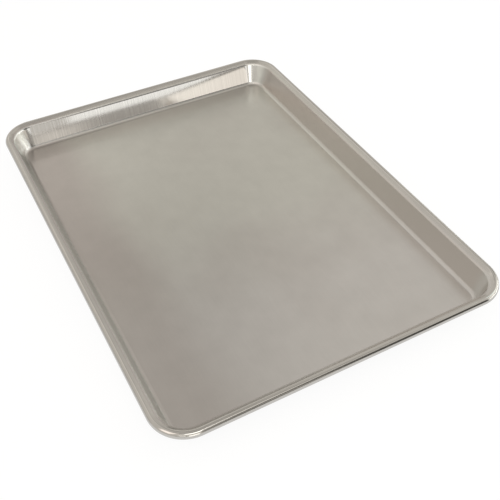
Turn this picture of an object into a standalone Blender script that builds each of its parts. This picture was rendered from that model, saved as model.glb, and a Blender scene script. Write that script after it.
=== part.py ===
# A quarter sheet pan: one pressed aluminium sheet, its edge rolled over a steel wire.
# The long sides run along Y. The origin is under the middle of the floor, and Z is up.

import math

import bmesh
import bpy

# Driving sizes, in metres and degrees

pan_length = 0.3290              # over the rolled rim, along Y
pan_width = 0.2415               # over the rolled rim, along X
pan_height = 0.0200              # from the underside of the floor to the crest of the roll
corner_radius = 0.0236           # outer corner of the rim, seen from above
sheet_thickness = 0.0009         # the blank that the pan is pressed from

wall_draft = 18.0                # lean of the walls from the vertical, degrees
floor_bend_radius = 0.0034       # inside the pan, where the floor turns up into the wall
rim_width = 0.0071               # from the rim's outer edge to the top of the straight wall
shelf_bend_radius = 0.0019       # under the shelf, where the wall turns out into it
shelf_fall = 0.0012              # how far the top of the shelf bend lies below the roll's crest

wire_diameter = 0.0029           # stiffening wire inside the roll
wire_clearance = 0.00025         # between the wire and the sheet rolled round it
seam_gap = 0.0006                # between the roll's cut edge and the underside of the shelf
wire_joint_gap = 0.0015          # between the two butted ends of the wire

# Fineness of the bends, in steps

corner_steps = 12                # round each quarter corner, seen from above
bend_steps = 5                   # round each quarter turn of a bend in the section
wire_sides = 2                   # bevel resolution of the wire

# Sizes that follow from the ones above

half_length = pan_length / 2
half_width = pan_width / 2
corner_x = half_width - corner_radius      # axis that a corner turns about
corner_y = half_length - corner_radius
draft = math.radians(wall_draft)
half_sheet = sheet_thickness / 2
roll_radius = wire_diameter / 2 + wire_clearance + sheet_thickness
wire_height = pan_height - roll_radius
merge_distance = 0.000005


def arc(centre, radius, start, end):
    """Points of an arc in the section. Angles run from straight up towards the middle of the pan.

    A point lies at each quarter turn that the arc passes, so that its crest and its sides are exact.
    """
    quarter = math.pi / 2
    low, high = min(start, end), max(start, end)
    passed = range(math.floor(low / quarter) + 1, math.ceil(high / quarter))
    stops = [low] + [quarter * turn for turn in passed] + [high]
    angles = [low]
    for first, last in zip(stops, stops[1:]):
        steps = max(1, round(bend_steps * (last - first) / quarter))
        angles += [first + (last - first) * step / steps for step in range(1, steps + 1)]
    if end < start:
        angles.reverse()
    return [(centre[0] + radius * math.sin(angle), centre[1] + radius * math.cos(angle))
            for angle in angles]


def section():
    """Middle of the sheet, from the cut edge in the roll to a corner's axis.

    Each point is an inset from the rim's outer edge and a height above the underside.
    """
    roll_middle = roll_radius - half_sheet
    shelf_middle = shelf_bend_radius + half_sheet
    floor_middle = floor_bend_radius + half_sheet

    roll_centre = (roll_radius, wire_height)
    shelf_outside = shelf_bend_radius + sheet_thickness
    shelf_centre = (rim_width - shelf_outside * math.cos(draft),
                    pan_height - shelf_fall - shelf_outside)

    # The shelf is the line that touches the roll and the bend below it from above.
    across = shelf_centre[0] - roll_centre[0]
    down = roll_centre[1] - shelf_centre[1]
    shelf_slope = (math.asin((roll_middle - shelf_middle) / math.hypot(across, down))
                   + math.atan2(down, across))

    # The wall is the line that leaves the shelf bend at the draft and touches the floor bend.
    floor_height = sheet_thickness + floor_bend_radius
    wall_drop = (shelf_centre[1] - floor_height) * math.sin(draft)
    floor_inset = shelf_centre[0] + (floor_middle + shelf_middle + wall_drop) / math.cos(draft)
    floor_centre = (floor_inset, floor_height)
    wall_turn = math.pi / 2 - draft

    # The roll stops where its cut edge is the seam gap away from the underside of the shelf.
    seam_angle = math.acos(1 - (sheet_thickness + seam_gap) / roll_middle)
    roll_start = shelf_slope - 2 * math.pi + seam_angle

    points = arc(roll_centre, roll_middle, roll_start, shelf_slope)
    points += arc(shelf_centre, shelf_middle, shelf_slope, wall_turn)
    points += arc(floor_centre, floor_middle, math.pi + wall_turn, math.pi)
    points.append((corner_radius, half_sheet))
    return points


def extend_to_plane(mesh, edges, axis):
    """Draws a row of edges straight out to the plane through the origin across one axis."""
    drawn = bmesh.ops.extrude_edge_only(mesh, edges=edges)["geom"]
    for vertex in drawn:
        if isinstance(vertex, bmesh.types.BMVert):
            vertex.co[axis] = 0.0


def shell_quarter():
    """The open sheet of one quarter of the pan: a corner, two half sides and their floor."""
    mesh = bmesh.new()
    points = section()
    vertices = []
    for inset, height in points:
        vertices.append(mesh.verts.new((half_width - inset, corner_y, height)))
    edges = [mesh.edges.new(pair) for pair in zip(vertices, vertices[1:])]

    turned = bmesh.ops.spin(mesh, geom=vertices + edges, cent=(corner_x, corner_y, 0),
                            axis=(0, 0, 1), angle=math.pi / 2, steps=corner_steps)
    far_edges = [item for item in turned["geom_last"] if isinstance(item, bmesh.types.BMEdge)]
    extend_to_plane(mesh, edges, axis=1)
    extend_to_plane(mesh, far_edges, axis=0)

    # The floor between the half sides grows from the edge that runs in from the corner's axis.
    bmesh.ops.remove_doubles(mesh, verts=mesh.verts, dist=merge_distance)
    floor_edges = []
    for edge in mesh.edges:
        on_axis_line = all(abs(vertex.co.x - corner_x) < merge_distance for vertex in edge.verts)
        if on_axis_line and edge.is_boundary:
            floor_edges.append(edge)
    extend_to_plane(mesh, floor_edges, axis=0)
    bmesh.ops.remove_doubles(mesh, verts=mesh.verts, dist=merge_distance)
    bmesh.ops.recalc_face_normals(mesh, faces=mesh.faces)

    data = bpy.data.meshes.new("pan_shell")
    mesh.to_mesh(data)
    mesh.free()
    return data


def make_pan_shell(collection):
    """The pressed sheet: a quarter mirrored twice, then given the thickness of the blank."""
    shell = bpy.data.objects.new("pan_shell", shell_quarter())
    collection.objects.link(shell)

    mirror = shell.modifiers.new("Mirror", "MIRROR")
    mirror.use_axis = (True, True, False)
    mirror.use_clip = True
    mirror.merge_threshold = merge_distance

    solidify = shell.modifiers.new("Solidify", "SOLIDIFY")
    solidify.thickness = sheet_thickness
    solidify.offset = 0.0
    solidify.use_even_offset = True
    solidify.use_quality_normals = True

    shell.data.shade_smooth()
    shell.data.set_sharp_from_angle(angle=math.radians(40))
    shell.data.materials.append(metal("pan_aluminium", (0.63, 0.60, 0.56), 0.32))
    return shell


def wire_path():
    """The middle of the wire, once round from one side of its butt joint to the other."""
    across = half_width - roll_radius
    along = half_length - roll_radius
    bend = corner_radius - roll_radius
    points = [(-wire_joint_gap / 2, along, wire_height)]
    for corner, (side_x, side_y) in enumerate(((-1, 1), (-1, -1), (1, -1), (1, 1))):
        centre_x = side_x * (across - bend)
        centre_y = side_y * (along - bend)
        for step in range(corner_steps + 1):
            angle = math.pi / 2 * (corner + 1 + step / corner_steps)
            points.append((centre_x + bend * math.cos(angle),
                           centre_y + bend * math.sin(angle), wire_height))
    points.append((wire_joint_gap / 2, along, wire_height))
    return points


def make_rim_wire(collection):
    """The stiffening wire: a round rod bent to the outline of the roll, with closed ends."""
    curve = bpy.data.curves.new("rim_wire", "CURVE")
    curve.dimensions = "3D"
    curve.bevel_depth = wire_diameter / 2
    curve.bevel_resolution = wire_sides
    curve.use_fill_caps = True

    points = wire_path()
    spline = curve.splines.new("POLY")
    spline.points.add(len(points) - 1)
    for target, place in zip(spline.points, points):
        target.co = (*place, 1.0)

    wire = bpy.data.objects.new("rim_wire", curve)
    collection.objects.link(wire)
    curve.materials.append(metal("wire_steel", (0.52, 0.53, 0.54), 0.45))
    return wire


def metal(name, colour, roughness):
    """A plain metal for one piece."""
    material = bpy.data.materials.new(name)
    material.use_nodes = True
    shader = material.node_tree.nodes["Principled BSDF"]
    shader.inputs["Base Color"].default_value = (*colour, 1.0)
    shader.inputs["Metallic"].default_value = 1.0
    shader.inputs["Roughness"].default_value = roughness
    material.diffuse_color = (*colour, 1.0)
    return material


def main():
    for old in list(bpy.data.objects):
        bpy.data.objects.remove(old, do_unlink=True)
    collection = bpy.data.collections.new("quarter_sheet_pan")
    bpy.context.scene.collection.children.link(collection)
    make_pan_shell(collection)
    make_rim_wire(collection)


main()
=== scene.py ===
# Quarter sheet pan: one drawn aluminium sheet with its edge rolled over a steel wire.
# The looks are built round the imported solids. Sizes are in metres, and Z is up.

from math import cos, degrees, pi, radians, sin

import bmesh
import bpy
from mathutils import Matrix, Vector


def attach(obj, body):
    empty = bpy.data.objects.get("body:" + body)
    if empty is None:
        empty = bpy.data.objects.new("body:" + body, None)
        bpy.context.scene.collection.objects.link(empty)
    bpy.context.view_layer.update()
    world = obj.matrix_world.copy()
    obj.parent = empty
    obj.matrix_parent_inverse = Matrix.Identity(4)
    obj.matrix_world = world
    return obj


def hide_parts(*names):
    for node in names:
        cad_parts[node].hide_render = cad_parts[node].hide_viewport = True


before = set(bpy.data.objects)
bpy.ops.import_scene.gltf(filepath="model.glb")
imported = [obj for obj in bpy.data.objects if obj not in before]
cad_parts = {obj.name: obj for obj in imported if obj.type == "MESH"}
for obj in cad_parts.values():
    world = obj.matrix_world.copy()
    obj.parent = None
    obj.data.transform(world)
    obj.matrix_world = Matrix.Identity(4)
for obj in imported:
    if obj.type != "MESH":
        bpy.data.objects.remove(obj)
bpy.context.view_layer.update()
sharpAngle = radians(40)         # faces that meet at more than this keep a crisp edge


# Sums on sockets, for geometry trees and materials alike

class Value:
    def __init__(self, graph, socket):
        self.graph, self.socket = graph, socket

    def __add__(self, other):
        return self.graph.math("ADD", self, other)

    def __radd__(self, other):
        return self.graph.math("ADD", other, self)

    def __sub__(self, other):
        return self.graph.math("SUBTRACT", self, other)

    def __rsub__(self, other):
        return self.graph.math("SUBTRACT", other, self)

    def __mul__(self, other):
        return self.graph.math("MULTIPLY", self, other)

    def __rmul__(self, other):
        return self.graph.math("MULTIPLY", other, self)

    def __truediv__(self, other):
        return self.graph.math("DIVIDE", self, other)

    def __rtruediv__(self, other):
        return self.graph.math("DIVIDE", other, self)


class Graph:
    def __init__(self, tree):
        self.tree = tree

    def node(self, kind, settings, inputs, output=0):
        made = self.tree.nodes.new(kind)
        for name, setting in settings.items():
            setattr(made, name, setting)
        for key, given in inputs.items():
            socket = made.inputs[key]
            if isinstance(given, Value):
                self.tree.links.new(given.socket, socket)
            else:
                socket.default_value = given
        return Value(self, made.outputs[output])

    def math(self, operation, *terms):
        return self.node("ShaderNodeMath", {"operation": operation}, dict(enumerate(terms)))

    def vector(self, x, y, z=0.0):
        return self.node("ShaderNodeCombineXYZ", {}, {"X": x, "Y": y, "Z": z})

    def ramp(self, given, start, end):
        # Rises smoothly from 0 at start to 1 at end
        return self.node("ShaderNodeMapRange", {"interpolation_type": "SMOOTHSTEP"}, {
            "Value": given, "From Min": start, "From Max": end})


# The drawn sheet

panSizes = {
    "Length": 0.3290,            # over the rolled rim, along Y
    "Width": 0.2415,             # over the rolled rim, along X
    "Height": 0.0200,            # underside of the floor to the crest of the roll
    "Corner radius": 0.0236,     # outer corner of the rim, seen from above
    "Sheet": 0.0009,             # thickness of the blank
    "Draft": radians(17.8),      # lean of the walls from the vertical
    "Floor bend": 0.0034,        # inside radius at the foot of the wall
    "Rim width": 0.0071,         # outer edge of the roll to the top of the straight wall
    "Shelf bend": 0.0019,        # inside radius under the shelf
    "Shelf fall": 0.0012,        # top of the shelf bend below the crest of the roll
    "Roll radius": 0.0026,       # outside of the roll
    "Seam gap": 0.0006,          # cut edge of the roll to the underside of the shelf
    "Floor edge": 0.0160,        # inset at which the swept section meets the flat floor
}
panSteps = {
    "Corner steps": 40,          # round each corner, seen from above
    "Roll steps": 16,            # round each quarter of the roll
    "Bend steps": 14,            # round each bend of the wall
}
panDetails = {
    "cutEdgeBevel": 0.00012,     # softens the sheared edge inside the seam
    "bevelSegments": 2,
    "weldDistance": 0.000002,    # joins the flat floor to the swept section
    "rollFinish": (1.02, 1.5),   # where the roll's finish fades, in roll radii from its centre
    "wallFoot": (0.15, 0.98),    # where the wall's finish comes in, in heights of the floor bend
    "wallTop": (0.6, 0.02),      # where it goes out, in shelf bends short of the wall's top
}


def newTree(name, sizes, counts):
    tree = bpy.data.node_groups.new(name, "GeometryNodeTree")
    tree.is_modifier = True
    tree.interface.new_socket("Geometry", in_out="INPUT", socket_type="NodeSocketGeometry")
    tree.interface.new_socket("Geometry", in_out="OUTPUT", socket_type="NodeSocketGeometry")
    for given, kind in ((sizes, "NodeSocketFloat"), (counts, "NodeSocketInt")):
        for label in given:
            tree.interface.new_socket(label, in_out="INPUT", socket_type=kind)
    tree.interface.new_socket("Finish", in_out="INPUT", socket_type="NodeSocketMaterial")
    source = tree.nodes.new("NodeGroupInput")
    graph = Graph(tree)
    return graph, {socket.name: Value(graph, socket) for socket in source.outputs if socket.name}


def endTree(graph, geometry, finish):
    real = graph.node("GeometryNodeRealizeInstances", {}, {"Geometry": geometry})
    dressed = graph.node("GeometryNodeSetMaterial", {}, {"Geometry": real, "Material": finish})
    sink = graph.tree.nodes.new("NodeGroupOutput")
    graph.tree.links.new(dressed.socket, sink.inputs[0])


def plainMesh(piece, name):
    # What the modifiers make of a piece, as a mesh of its own
    evaluated = piece.evaluated_get(bpy.context.evaluated_depsgraph_get())
    mesh = bpy.data.meshes.new_from_object(evaluated)
    mesh.name = name
    return mesh


def growTree(graph, name, inputs):
    # Runs a tree on an empty mesh, and keeps the result as a plain piece
    piece = bpy.data.objects.new(name, bpy.data.meshes.new(name + "Start"))
    bpy.context.scene.collection.objects.link(piece)
    modifier = piece.modifiers.new("Shape", "NODES")
    modifier.node_group = graph.tree
    for item in graph.tree.interface.items_tree:
        if item.in_out == "INPUT" and item.name in inputs:
            modifier[item.identifier] = inputs[item.name]
    mesh = plainMesh(piece, name)
    piece.modifiers.remove(modifier)
    piece.data = mesh
    return piece


def pick(graph, kind, choices):
    # One of several values, by the index of the point
    made = graph.tree.nodes.new("GeometryNodeIndexSwitch")
    made.data_type = kind
    while len(made.index_switch_items) < len(choices):
        made.index_switch_items.new()
    index = graph.node("GeometryNodeInputIndex", {}, {})
    for socket, choice in zip(made.inputs, [index, *choices]):
        if isinstance(choice, Value):
            graph.tree.links.new(choice.socket, socket)
        else:
            socket.default_value = choice
    return Value(graph, made.outputs[0])


def keep(graph, geometry, name, kind, given):
    return graph.node("GeometryNodeStoreNamedAttribute", {"data_type": kind, "domain": "POINT"}, {
        "Geometry": geometry, "Name": name, "Value": given})


def move(graph, geometry, shift=(0.0, 0.0, 0.0), turn=(0.0, 0.0, 0.0)):
    return graph.node("GeometryNodeTransform", {}, {
        "Geometry": geometry, "Translation": shift, "Rotation": turn})


def bentLine(graph, corners, radii, steps):
    # A line through corner points, each bent to its own radius
    line = graph.node("GeometryNodeCurvePrimitiveLine", {}, {})
    line = graph.node("GeometryNodeResampleCurve", {}, {"Curve": line, "Count": len(corners)})
    line = graph.node("GeometryNodeSetPosition", {}, {
        "Geometry": line, "Position": pick(graph, "VECTOR", corners)})
    return graph.node("GeometryNodeFilletCurve", {"mode": "POLY"}, {
        "Curve": line, "Count": pick(graph, "INT", steps), "Radius": pick(graph, "FLOAT", radii)})


def rimOutline(graph, given, inset):
    # The rounded rectangle that lies a given inset inside the rim
    flat = graph.node("GeometryNodeCurvePrimitiveQuadrilateral", {}, {
        "Width": given["Width"] - 2 * inset, "Height": given["Length"] - 2 * inset})
    return graph.node("GeometryNodeFilletCurve", {"mode": "POLY"}, {
        "Curve": flat, "Count": given["Corner steps"], "Radius": given["Corner radius"] - inset})


def sheetSection(graph, given):
    # Middle of the sheet as a fabricator bends it: flat lengths and bend radii, from the floor out
    # to the cut edge in the roll. X is the inset from the rim's outer edge, and Y the height.
    math = graph.math
    half = given["Sheet"] / 2
    rollMiddle = given["Roll radius"] - half
    shelfMiddle = given["Shelf bend"] + half
    floorMiddle = given["Floor bend"] + half
    rollIn = given["Roll radius"]
    rollUp = given["Height"] - given["Roll radius"]
    sinDraft, cosDraft = math("SINE", given["Draft"]), math("COSINE", given["Draft"])
    shelfOutside = given["Shelf bend"] + given["Sheet"]
    shelfIn = given["Rim width"] - shelfOutside * cosDraft
    shelfUp = given["Height"] - given["Shelf fall"] - shelfOutside

    # The shelf touches the roll and the bend below it from above
    across, down = shelfIn - rollIn, rollUp - shelfUp
    reach = math("SQRT", across * across + down * down)
    slope = math("ARCSINE", (rollMiddle - shelfMiddle) / reach) + math("ARCTAN2", down, across)
    sinSlope, cosSlope = math("SINE", slope), math("COSINE", slope)
    lineIn, lineUp = rollIn + rollMiddle * sinSlope, rollUp + rollMiddle * cosSlope

    # The wall leaves the shelf bend at the draft, and its line meets the floor's at the foot
    wallIn, wallUp = shelfIn + shelfMiddle * cosDraft, shelfUp + shelfMiddle * sinDraft
    foot = graph.vector(wallIn + (wallUp - half) * sinDraft / cosDraft, half)
    along = ((wallUp - lineUp) * sinDraft + (wallIn - lineIn) * cosDraft) / (
        cosSlope * cosDraft - sinSlope * sinDraft)
    top = graph.vector(lineIn + along * cosSlope, lineUp - along * sinSlope)

    # The roll is four equal bends, and its cut edge stops the seam gap below the shelf
    seam = math("ARCCOSINE", 1 - (given["Sheet"] + given["Seam gap"]) / rollMiddle)
    quarter = (2 * pi - seam) / 4
    cornerReach = rollMiddle / math("COSINE", quarter / 2)
    roll = [(slope - quarter * (turn + 0.5), cornerReach) for turn in range(4)]
    roll.append((slope - quarter * 4, rollMiddle))
    corners = [graph.vector(given["Floor edge"], half), foot, top]
    for angle, radius in roll:
        corners.append(graph.vector(rollIn + radius * math("SINE", angle),
                                    rollUp + radius * math("COSINE", angle)))
    line = bentLine(graph, corners, [0.0, floorMiddle, shelfMiddle] + [rollMiddle] * 4 + [0.0],
                    [1, given["Bend steps"], given["Bend steps"]] + [given["Roll steps"]] * 4 + [1])

    # How far each point belongs to the roll and to the straight of the wall, for the finish
    place = graph.node("GeometryNodeInputPosition", {}, {})
    away = graph.node("ShaderNodeVectorMath", {"operation": "DISTANCE"}, {
        0: place, 1: graph.vector(rollIn, rollUp)}, "Value")
    inset = graph.node("ShaderNodeSeparateXYZ", {}, {0: place}, "X")
    height = graph.node("ShaderNodeSeparateXYZ", {}, {0: place}, "Y")
    start, end = panDetails["rollFinish"]
    onRoll = 1 - graph.ramp(away, rollMiddle * start, rollMiddle * end)
    footUp = half + floorMiddle * (1 - sinDraft)
    start, end = panDetails["wallFoot"]
    onWall = graph.ramp(height, half + footUp * start, footUp * end)
    start, end = (wallIn - given["Shelf bend"] * short for short in panDetails["wallTop"])
    onWall = onWall * graph.ramp(inset, start, end)
    line = keep(graph, line, "onRoll", "FLOAT", onRoll)
    line = keep(graph, line, "onWall", "FLOAT", onWall)
    run = graph.node("GeometryNodeSplineParameter", {}, {}, "Length")
    return keep(graph, line, "sheetRun", "FLOAT", run)


def sheetTree():
    graph, given = newTree("sheetTree", panSizes, panSteps)
    section = move(graph, sheetSection(graph, given), turn=(0.0, 0.0, pi))
    place = graph.node("GeometryNodeInputPosition", {}, {})
    path = keep(graph, rimOutline(graph, given, 0.0), "rimPlace", "FLOAT_VECTOR", place)
    swept = graph.node("GeometryNodeCurveToMesh", {}, {"Curve": path, "Profile Curve": section})
    floor = graph.node("GeometryNodeFillCurve", {"mode": "NGONS"}, {
        "Curve": rimOutline(graph, given, given["Floor edge"])})
    floor = move(graph, floor, shift=graph.vector(0.0, 0.0, given["Sheet"] / 2))
    joined = graph.tree.nodes.new("GeometryNodeJoinGeometry")
    for part in (floor, swept):
        graph.tree.links.new(part.socket, joined.inputs[0])
    welded = graph.node("GeometryNodeMergeByDistance", {}, {
        "Geometry": Value(graph, joined.outputs[0]), "Distance": panDetails["weldDistance"]})
    endTree(graph, welded, given["Finish"])
    return graph


def makeSheet():
    inputs = {**panSizes, **panSteps, "Finish": sheetFinish()}
    sheet = growTree(sheetTree(), "pan_sheet", inputs)
    work = bmesh.new()
    work.from_mesh(sheet.data)
    bmesh.ops.recalc_face_normals(work, faces=work.faces)
    work.to_mesh(sheet.data)
    work.free()

    # The tree gives the middle of the sheet, and the modifiers its thickness and its cut edge
    wall = sheet.modifiers.new("Thickness", "SOLIDIFY")
    wall.thickness = panSizes["Sheet"]
    wall.offset = 0.0
    wall.use_even_offset = True
    wall.use_quality_normals = True
    edge = sheet.modifiers.new("Cut edge", "BEVEL")
    edge.width = panDetails["cutEdgeBevel"]
    edge.segments = panDetails["bevelSegments"]
    edge.limit_method = "ANGLE"
    edge.angle_limit = sharpAngle
    edge.harden_normals = True
    sheet.data.shade_smooth()
    even = sheet.modifiers.new("Flat faces lead", "WEIGHTED_NORMAL")
    even.keep_sharp = True
    mesh = plainMesh(sheet, "pan_sheet")
    sheet.modifiers.clear()
    sheet.data = mesh
    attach(sheet, "root")
    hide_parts("pan_shell")
    print("sheet:", len(mesh.polygons), "faces")


# The wire in the roll

wireSizes = {
    "Length": panSizes["Length"] - 2 * panSizes["Roll radius"],
    "Width": panSizes["Width"] - 2 * panSizes["Roll radius"],
    "Corner radius": panSizes["Corner radius"] - panSizes["Roll radius"],
    "Height": panSizes["Height"] - panSizes["Roll radius"],
    "Wire radius": 0.00145,
    "Joint gap": 0.0015,         # between the butted ends, in the middle of the far side
}
wireSteps = {
    "Corner steps": 32,
    "Sides": 24,                 # round the wire
}


def wireTree():
    graph, given = newTree("wireTree", wireSizes, wireSteps)
    across, along = given["Width"] / 2, given["Length"] / 2
    up, gap = given["Height"], given["Joint gap"] / 2
    sides = ((-1, 1), (-1, -1), (1, -1), (1, 1))
    corners = [graph.vector(0 - gap, along, up)]
    corners += [graph.vector(across * x, along * y, up) for x, y in sides]
    corners.append(graph.vector(gap, along, up))
    path = bentLine(graph, corners, [0.0] + [given["Corner radius"]] * 4 + [0.0],
                    [1] + [given["Corner steps"]] * 4 + [1])
    ring = graph.node("GeometryNodeCurvePrimitiveCircle", {}, {
        "Resolution": given["Sides"], "Radius": given["Wire radius"]})
    rod = graph.node("GeometryNodeCurveToMesh", {}, {
        "Curve": path, "Profile Curve": ring, "Fill Caps": True})
    endTree(graph, rod, given["Finish"])
    return graph


def makeWire():
    inputs = {**wireSizes, **wireSteps, "Finish": wireFinish()}
    wire = growTree(wireTree(), "stiffening_wire", inputs)
    wire.data.shade_smooth()
    wire.data.set_sharp_from_angle(angle=sharpAngle)
    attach(wire, "root")
    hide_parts("rim_wire")
    print("wire:", len(wire.data.polygons), "faces")


# Finishes

sheetLook = {
    # Satin mill finish of the floor and the shelf, in three faint tints: grey, green painted as a
    # reflection tint towards the far side, and pink, in random clouds and painted as shade along
    # the left and far walls
    "greenReflectionColour": (0.565, 0.56, 0.52),
    "greyColour": (0.568, 0.552, 0.535),
    "pinkShadeAndCloudColour": (0.455, 0.424, 0.402),
    "greyToReflectedGreen": (-0.10, 0.03),          # where grey turns to the painted green reflection tint, along Y
    "floorInset": 0.015,                   # rim's outer edge to the floor's
    "pinkShadeByLeft": (0.015, 0.060),          # where the pink painted shade fades, in from the floor's left edge
    "pinkWander": 0.04,                    # how far the clouds shift that fade
    "pinkNearShare": 0.65,                 # how much of it is left towards the near side
    "pinkNearFade": (-0.08, 0.02),         # where that loss ends, along Y
    "pinkShadeByFar": 0.020,                    # width of the pink painted shade by the far wall
    "pinkShadeByFarShare": 0.5,
    "pinkClouds": (0.45, 0.7),             # noise values between which the other clouds turn pink
    "pinkCloudsShare": 0.3,
    "cloudsPerMetre": 9,
    "mottlePerMetre": 70,
    "mottleContrast": 0.12,
    "grainPerMetre": 1400,                 # rolling grain, long with the sheet
    "grainStretch": 0.04,
    "grainContrast": 0.05,
    "satinRoughness": 0.28,

    # Walls and roll, smoothed by the tools that drew them; the left and right walls' colours are
    # painted reflections, and the corners' lighter colour a painted highlight
    "leftWallReflectionColour": (0.62, 0.64, 0.61),
    "rightWallReflectionColour": (0.675, 0.64, 0.605),
    "leftToRight": (-0.02, 0.02),          # where one painted reflection colour turns into the other, along X
    # painted highlight: the corners lighter than the walls
    "cornerHighlightColour": (0.73, 0.725, 0.70),
    "shortWallColour": (0.61, 0.60, 0.585),
    "rollColour": (0.52, 0.505, 0.48),
    "cornerStart": (0.42, 0.455),          # where the painted corner highlight comes in, in lengths of the pan from its middle
    "shortWallStart": (0.485, 0.5),
    "longWallRoughness": 0.28,             # the corners' too
    "shortWallRoughness": 0.06,
    "rollRoughness": 0.13,
    "bendRoughness": 0.22,                 # added where the skin stretches round a bend
    "shelfStart": (0.006, 0.016),          # up the section from the floor
    "creaseShade": 0.2,                    # darker line along the foot of the short walls
    "streaksPerMetre": 900,                # draw marks up the short walls
    "streakDepth": 0.000010,
    "streakContrast": 0.6,
}


def newMaterial(name):
    material = bpy.data.materials.new(name)
    material.use_nodes = True
    graph = Graph(material.node_tree)
    shader = material.node_tree.nodes["Principled BSDF"]
    return material, graph, shader


def attribute(graph, name, output="Fac"):
    return graph.node("ShaderNodeAttribute", {"attribute_name": name}, {}, output)


def scaled(graph, vector, factor):
    return graph.node("ShaderNodeVectorMath", {"operation": "SCALE"}, {0: vector, "Scale": factor})


def noise(graph, vector, perMetre, detail):
    return graph.node("ShaderNodeTexNoise", {}, {
        "Vector": scaled(graph, vector, perMetre), "Scale": 1.0, "Detail": detail})


def blend(graph, share, low, high):
    # Colours meet in a Mix node: low where share is 0, high where it is 1. Its colour sockets have
    # the same names as its number sockets, so they are called by place.
    mixed = graph.tree.nodes.new("ShaderNodeMix")
    mixed.data_type = "RGBA"
    graph.tree.links.new(share.socket, mixed.inputs["Factor"])
    for socket, given in ((mixed.inputs[6], low), (mixed.inputs[7], high)):
        if isinstance(given, Value):
            graph.tree.links.new(given.socket, socket)
        else:
            socket.default_value = (*given, 1)
    return Value(graph, mixed.outputs[2])


def sheetFinish():
    look = sheetLook
    material, graph, shader = newMaterial("satinAluminium")
    onWall, onRoll = attribute(graph, "onWall"), attribute(graph, "onRoll")
    run = attribute(graph, "sheetRun")
    rim = attribute(graph, "rimPlace", "Vector")
    place = graph.node("ShaderNodeTexCoord", {}, {}, "Object")

    # Draw marks run straight up the short walls, so they hang on the place along the rim alone
    rimAlong = graph.math("ABSOLUTE", graph.node("ShaderNodeSeparateXYZ", {}, {0: rim}, "Y"))
    rimShare = rimAlong / panSizes["Length"]
    cornerHighlight = graph.ramp(rimShare, *look["cornerStart"])
    onShort = graph.ramp(rimShare, *look["shortWallStart"])
    streaks = (noise(graph, rim, look["streaksPerMetre"], detail=2.0) - 0.5) * onWall * onShort
    normal = graph.node("ShaderNodeBump", {}, {
        "Strength": 1.0, "Distance": 1.0, "Height": streaks * look["streakDepth"]})

    # The rolling grain of the blank, the clouds and mottle of its mill finish, and pink painted as
    # shade along the floor's left and far walls
    along = graph.node("ShaderNodeVectorMath", {"operation": "MULTIPLY"}, {
        0: place, 1: (1.0, look["grainStretch"], 1.0)})
    grain = noise(graph, along, look["grainPerMetre"], detail=2.0) - 0.5
    mottle = noise(graph, place, look["mottlePerMetre"], detail=3.0) - 0.5
    clouds = noise(graph, place, look["cloudsPerMetre"], detail=2.0)
    x, y = (graph.node("ShaderNodeSeparateXYZ", {}, {0: place}, axis) for axis in "XY")
    fromLeft = x + (panSizes["Width"] / 2 - look["floorInset"])
    farEdge = panSizes["Length"] / 2 - look["floorInset"]
    nearShare = look["pinkNearShare"]
    # Pink painted as shade along the floor's left edge, weaker towards the near side, and by the
    # far wall; the clouds add random pink elsewhere
    pink = 1 - graph.ramp(fromLeft + (clouds - 0.5) * look["pinkWander"], *look["pinkShadeByLeft"])
    pink = pink * (nearShare + graph.ramp(y, *look["pinkNearFade"]) * (1 - nearShare))
    shadeByFar = graph.ramp(y, farEdge - look["pinkShadeByFar"], farEdge) * look["pinkShadeByFarShare"]
    cloudy = graph.ramp(clouds, *look["pinkClouds"]) * look["pinkCloudsShare"]
    for other in (shadeByFar, cloudy):
        pink = graph.math("MAXIMUM", pink, other)

    onBend = 4 * onWall * (1 - onWall)     # 1 half way into each bend of the wall
    wallRough = look["longWallRoughness"] * (1 - onShort) + look["shortWallRoughness"] * onShort
    rough = look["satinRoughness"] * (1 - onWall) + wallRough * (1 + streaks) * onWall
    rough = rough + look["bendRoughness"] * onBend
    rough = rough * (1 - onRoll) + look["rollRoughness"] * onRoll

    # Painted reflection tint: the floor greener towards the far side
    greenerByReflection = graph.ramp(y, *look["greyToReflectedGreen"])
    toRight = graph.ramp(x, *look["leftToRight"])
    colour = blend(graph, greenerByReflection, look["greyColour"], look["greenReflectionColour"])
    # Pink: painted shade along the left and far walls, and random clouds
    colour = blend(graph, pink, colour, look["pinkShadeAndCloudColour"])
    # Painted reflections: the long walls greener on the left and beiger on the right
    wall = blend(graph, toRight, look["leftWallReflectionColour"], look["rightWallReflectionColour"])
    # Painted highlight: the corners lighter than the walls
    wall = blend(graph, cornerHighlight, wall, look["cornerHighlightColour"])
    wall = blend(graph, onShort, wall, look["shortWallColour"])
    colour = blend(graph, onWall, colour, wall)
    colour = blend(graph, onRoll, colour, look["rollColour"])
    crease = onBend * onShort * (1 - graph.ramp(run, *look["shelfStart"]))
    marks = 1 + (grain * look["grainContrast"] + mottle * look["mottleContrast"]) * (1 - onWall)
    marks = marks + streaks * look["streakContrast"]
    colour = scaled(graph, colour, marks - crease * look["creaseShade"])
    for name, given in (("Base Color", colour), ("Roughness", rough), ("Normal", normal)):
        graph.tree.links.new(given.socket, shader.inputs[name])
    shader.inputs["Metallic"].default_value = 1.0
    return material


wireLook = {
    "zincColour": (0.56, 0.57, 0.58),      # galvanised, with duller patches
    "dullColour": (0.42, 0.425, 0.43),
    "patchesPerMetre": 260,
    "dullPatches": (0.42, 0.62),           # noise values between which the zinc turns dull
    "specksPerMetre": 2600,
    "roughness": 0.38,
    "dullRoughness": 0.15,                 # added in the dull patches
    "speckRoughness": 0.1,
}


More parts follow.
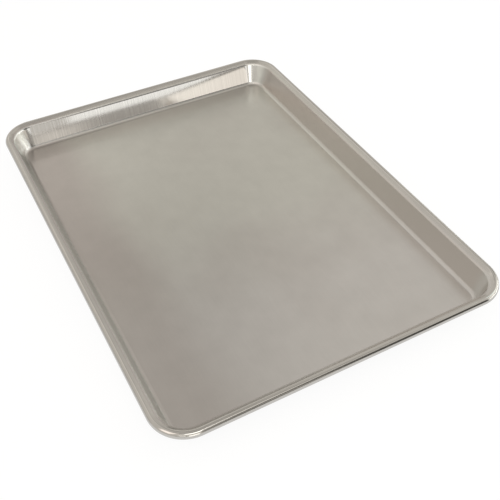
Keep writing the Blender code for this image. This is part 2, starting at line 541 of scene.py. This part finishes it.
def wireFinish():
    look = wireLook
    material, graph, shader = newMaterial("wireSteel")
    place = graph.node("ShaderNodeTexCoord", {}, {}, "Object")
    patches = noise(graph, place, look["patchesPerMetre"], detail=3.0)
    specks = noise(graph, place, look["specksPerMetre"], detail=1.0) - 0.5
    dull = graph.ramp(patches, *look["dullPatches"])
    colour = blend(graph, dull, look["zincColour"], look["dullColour"])
    graph.tree.links.new(colour.socket, shader.inputs["Base Color"])
    rough = look["roughness"] + dull * look["dullRoughness"] + specks * look["speckRoughness"]
    graph.tree.links.new(rough.socket, shader.inputs["Roughness"])
    shader.inputs["Metallic"].default_value = 1.0
    return material


# Camera, floor and light

cameraPlace = {
    "azimuth": -27.872,          # degrees from straight in front of the near short side
    "elevation": 44.296,
    "roll": -0.560,
    "distance": 0.52691,
    "target": (-0.00047, -0.03634, 0.0),
    "focalPixels": 751.24,       # for a picture 500 pixels wide
    "picturePixels": 500,
    "sensor": 36.0,              # mm
    "nearest": 0.01,             # clip distances
    "farthest": 50.0,
}


def placeCamera():
    place = cameraPlace
    turn, lift, roll = (radians(place[key]) for key in ("azimuth", "elevation", "roll"))
    back = Vector((sin(turn) * cos(lift), -cos(turn) * cos(lift), sin(lift)))
    right = Vector((cos(turn), sin(turn), 0.0))
    up = back.cross(right)
    side = right * cos(roll) + up * sin(roll)
    top = up * cos(roll) - right * sin(roll)
    data = bpy.data.cameras.new("view")
    data.sensor_width = place["sensor"]
    data.lens = place["focalPixels"] * place["sensor"] / place["picturePixels"]
    data.clip_start, data.clip_end = place["nearest"], place["farthest"]
    camera = bpy.data.objects.new("view", data)
    turned = Matrix((side, top, back)).transposed().to_4x4()
    stand = Vector(place["target"]) + back * place["distance"]
    camera.matrix_world = Matrix.Translation(stand) @ turned
    bpy.context.scene.collection.objects.link(camera)
    bpy.context.scene.camera = camera
    print("camera: lens", round(data.lens, 2), "mm")


studioFloor = {
    "half": 20.0,                # half its side
    "drop": 0.0002,              # below the pan's underside
    "grey": 0.85,
    "glow": 1.05,                # white to the camera and in reflections
    "glowShare": 0.85,           # and the rest of the floor keeps the pan's shadow
}


def layFloor():
    half, grey = studioFloor["half"], studioFloor["grey"]
    corners = [(-half, -half, 0), (half, -half, 0), (half, half, 0), (-half, half, 0)]
    mesh = bpy.data.meshes.new("studio_floor")
    mesh.from_pydata(corners, [], [(0, 1, 2, 3)])
    floor = bpy.data.objects.new("studio_floor", mesh)
    floor.location.z = -studioFloor["drop"]
    bpy.context.scene.collection.objects.link(floor)
    material, graph, shader = newMaterial("studioFloor")
    shader.inputs["Base Color"].default_value = (grey, grey, grey, 1)
    shader.inputs["Roughness"].default_value = 1.0
    shader.inputs["Specular IOR Level"].default_value = 0.0
    seen = graph.node("ShaderNodeLightPath", {}, {}, "Is Camera Ray")
    for name in ("Is Glossy Ray", "Is Transmission Ray"):
        seen = graph.math("MAXIMUM", seen, graph.node("ShaderNodeLightPath", {}, {}, name))
    glow = graph.node("ShaderNodeEmission", {}, {"Strength": studioFloor["glow"]})
    plain = Value(graph, shader.outputs[0])
    mixed = graph.node("ShaderNodeMixShader", {}, {
        0: seen * studioFloor["glowShare"], 1: plain, 2: glow})
    surface = graph.tree.nodes["Material Output"].inputs["Surface"]
    graph.tree.links.new(mixed.socket, surface)
    mesh.materials.append(material)
    print("studio floor: laid")


# Lamps and patches are given by azimuth from and to, and elevation from and to, in degrees. Azimuth
# 0 is in front of the near short side, 90 off the right long side, and so on round.
azimuthRange = (-60.0, 300.0)
lampDistance = 1.6
lamps = {                        # the last figures are their brightness in red, green and blue
    "rightWindow": (40, 95, 8, 14, (3.5, 3.7, 3.7)),
    "rightLow": (64, 126, 5, 10, (1.5, 1.55, 1.5)),
    "rightCard": (50, 108, 25, 41, (0.85, 0.85, 0.8)),
    "rightHigh": (84, 96, 40, 52, (1.0, 1.3, 1.3)),
    "frontStrip": (8.5, 25, 0.5, 6, (0.52, 0.54, 0.54)),
    "frontBox": (-22, 0, 3, 27, (1.4, 1.4, 1.35)),
    "overhead": (-35, 14, 51, 68, (2.0, 2.0, 1.95)),
    "leftCard": (-42, -28, 20, 29, (1.4, 1.4, 1.35)),
    "leftSide": (-88, -58, 27, 66, (1.1, 0.97, 0.92)),
}
roomColour = (0.82, 0.785, 0.73)
backdropColour = (1.0, 1.0, 1.0)  # what the camera itself sees of the room
roomPatches = {                  # stretches of the room that are darker or lighter, and how much
    "besideFrontBox": (11, 21, 6, 44, 0.35),
    "frontRight": (24, 47, 4, 44, 0.12),
    "aboveFrontBox": (20, 44, 46, 59, 0.1),
    "frontCeiling": (18, 54, 60, 71, 1.7),
    "belowLeftCard": (-50, -24, 8, 18, 0.6),
    "besideRightCard": (110, 122, 15, 36, 0.3),
    "rightWall": (128, 149, 8, 32, 0.85),
    "rightCeiling": (60, 150, 60, 76, 0.75),
    "farWall": (151, 168, 40, 66, 0.65),
    "farWallLow": (167, 172, 33, 37, 2.2),
    "farWallHigh": (168, 175, 42, 50, 0.7),
    "farWallLeft": (176, 200, 38, 62, 1.3),
    "farLeftSkirting": (215, 252, 0, 7, 0.2),
    "ceiling": (-70, 310, 75, 100, 0.7),
}
patchEdge = 2.5                  # softness of their edges, degrees


def hangLamp(name, place):
    left, right, low, high, brightness = place
    turn, lift = radians((left + right) / 2), radians((low + high) / 2)
    wide = 2 * lampDistance * cos(lift) * sin(radians(right - left) / 2)
    tall = 2 * lampDistance * sin(radians(high - low) / 2)
    lamp = bpy.data.lights.new(name, "AREA")
    lamp.shape = "RECTANGLE"
    lamp.size, lamp.size_y = wide, tall
    lamp.energy = pi * wide * tall * max(brightness)     # the same brightness at any size
    lamp.color = [part / max(brightness) for part in brightness]
    back = Vector((sin(turn) * cos(lift), -cos(turn) * cos(lift), sin(lift)))
    across = Vector((cos(turn), sin(turn), 0.0))
    panel = bpy.data.objects.new(name, lamp)
    panel.visible_camera = False
    panel.matrix_world = Matrix.Translation(back * lampDistance) @ Matrix(
        (across, back.cross(across), back)).transposed().to_4x4()
    bpy.context.scene.collection.objects.link(panel)


def between(graph, given, low, high, edge):
    # 1 from low to high, and 0 outside, with a soft edge
    above = graph.ramp(given, low - edge, low + edge)
    return above * (1 - graph.ramp(given, high - edge, high + edge))


def lightStudio():
    for name, place in lamps.items():
        hangLamp(name, place)
    world = bpy.data.worlds.new("studio")
    bpy.context.scene.world = world
    world.use_nodes = True
    graph = Graph(world.node_tree)
    looking = graph.node("ShaderNodeTexCoord", {}, {}, "Generated")
    x, y, z = (graph.node("ShaderNodeSeparateXYZ", {}, {0: looking}, axis) for axis in "XYZ")
    lowest, highest = azimuthRange
    turn = graph.math("ARCTAN2", x, 0 - y) * degrees(1)
    turn = graph.math("WRAP", turn, highest, lowest)
    lift = graph.math("ARCSINE", z) * degrees(1)
    seen = graph.node("ShaderNodeLightPath", {}, {}, "Is Camera Ray")
    unseen = 1 - seen
    lit = 1
    for left, right, low, high, level in roomPatches.values():
        inside = between(graph, turn, left, right, patchEdge)
        inside = inside * between(graph, lift, low, high, patchEdge)
        lit = lit * (1 - inside * unseen * (1 - level))
    background = world.node_tree.nodes["Background"]
    colour = blend(graph, seen, roomColour, backdropColour)
    graph.tree.links.new(colour.socket, background.inputs["Color"])
    graph.tree.links.new(lit.socket, background.inputs["Strength"])
    print("studio light:", len(lamps), "lamps,", len(roomPatches), "room patches")


makeSheet()
makeWire()
placeCamera()
layFloor()
lightStudio()

scene = bpy.context.scene
scene.view_settings.view_transform = "Standard"
